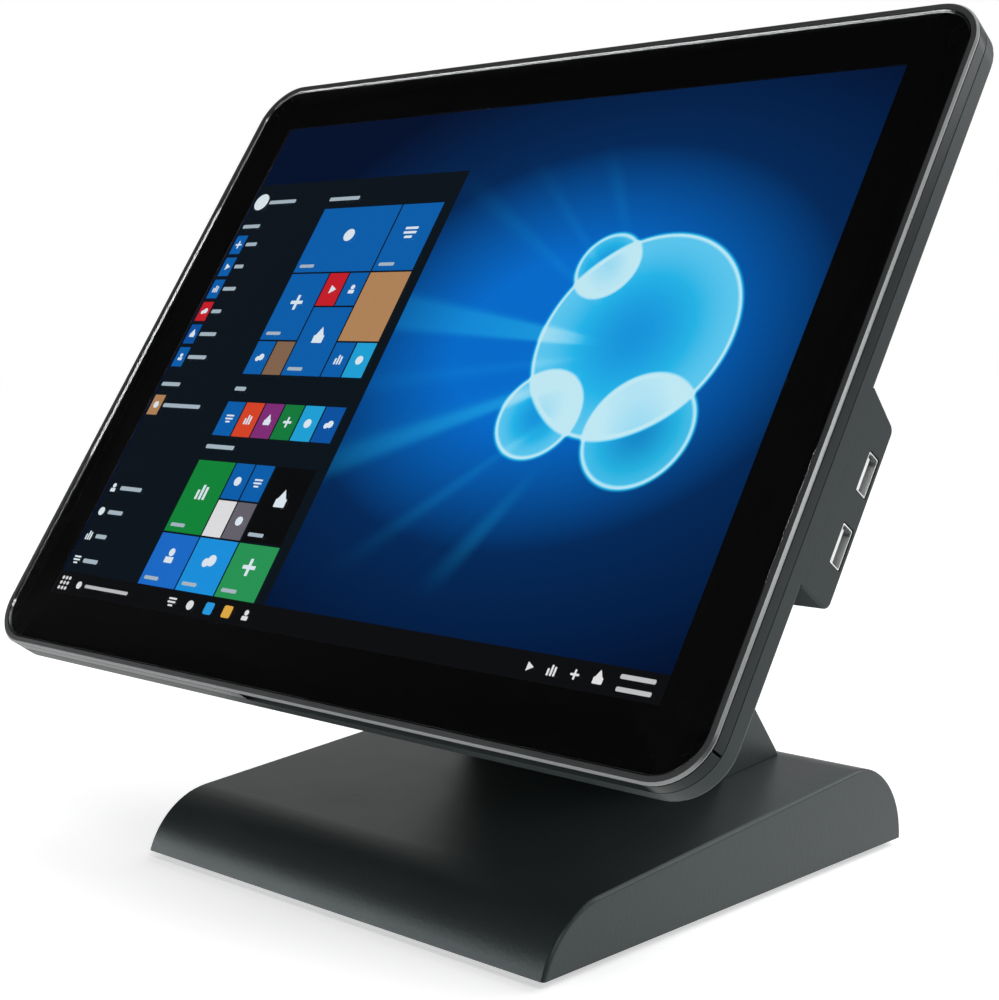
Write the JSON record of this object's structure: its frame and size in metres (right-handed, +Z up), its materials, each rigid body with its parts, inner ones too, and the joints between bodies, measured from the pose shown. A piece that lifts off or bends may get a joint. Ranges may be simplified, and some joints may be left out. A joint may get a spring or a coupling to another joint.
{
  "type": "countertop touchscreen kiosk",
  "caption": "All-in-one touchscreen terminal: glass-fronted touch head with rear electronics housing, tilting on a leaning neck above a wedge base.",
  "frame": {"origin": "bottom centre of the whole terminal, on the surface it stands on", "axes": "+Z up, +X to the viewer's right, -Y towards the viewer that the screen faces"},
  "size_m": [0.351, 0.2344, 0.3086],
  "materials": {
    "powder_coat": "fine satin powder coat",
    "housing_abs": "fine satin moulded ABS",
    "frame_alloy": "satin anodised grey, bevelled edge",
    "trim_plastic": "satin dark grey",
    "touch_glass": "polished flat glass",
    "border_ink": "black ink",
    "display": "lit picture",
    "plain_steel": "zinc plated",
    "ballast_iron": "rough cast",
    "screw_steel": "nickel plated",
    "socket_shell": "nickel plated sheet",
    "brass_post": "turned",
    "board": "solder mask",
    "black_plastic": "moulded",
    "backlight": "white reflector",
    "sink_alloy": "extruded",
    "foot_rubber": "matt",
    "cable_film": "flat film"
  },
  "bodies": {
    "base": {"base_shell": "powder_coat", "base_plate": "plain_steel", "rubber_feet": "foot_rubber", "base_plate_screws": "screw_steel", "base_ballast": "ballast_iron", "base_stiffener": "plain_steel", "neck_shell": "powder_coat", "neck_front_panel": "housing_abs", "neck_bracket": "plain_steel", "neck_bolts": "screw_steel", "neck_nuts": "screw_steel", "hinge_shafts": "screw_steel", "friction_discs": "screw_steel", "hinge_nuts": "screw_steel"},
    "head": {"board_screws": "screw_steel", "board_standoffs": "brass_post", "border_mask": "border_ink", "chassis": "plain_steel", "chassis_screws": "screw_steel", "corner_trim": "trim_plastic", "cover_glass": "touch_glass", "cover_posts": "brass_post", "cover_screws": "screw_steel", "display_cable": "cable_film", "edge_trim": "trim_plastic", "electronics_cover": "housing_abs", "front_frame": "frame_alloy", "heat_sink": "sink_alloy", "hinge_backing_plate": "plain_steel", "hinge_bracket": "plain_steel", "hinge_cover": "housing_abs", "hinge_posts": "brass_post", "hinge_screws": "screw_steel", "lan_port": "black_plastic", "lcd_backlight": "backlight", "lcd_bezel": "plain_steel", "lcd_cell": "display", "lower_usb_shells": "socket_shell", "lower_usb_tongues": "black_plastic", "mainboard": "board", "memory_module": "black_plastic", "power_inlet": "black_plastic", "power_switch": "black_plastic", "processor": "black_plastic", "rear_shell": "housing_abs", "rear_shell_screws": "screw_steel", "serial_ports": "black_plastic", "side_usb_shells": "socket_shell", "side_usb_tongues": "black_plastic", "sound_grille": "trim_plastic", "speakers": "black_plastic", "storage_drive": "black_plastic", "switch_board": "board", "touch_controller": "board", "usb_board": "board"},
    "button": {"power_button": "housing_abs"}
  },
  "joints": [
    {"name": "head_tilt", "type": "hinge", "parent": "base", "child": "head", "pos_m": [0, -0.01538, 0.14029], "axis": [-1, 0, 0], "range_deg": [-30, 40]},
    {"name": "power_press", "type": "slide", "parent": "head", "child": "button", "axis": [1, 0, 0], "range_m": [0, 0.0012], "stiffness_N_per_m": 400, "springref_m": -0.0003}
  ]
}
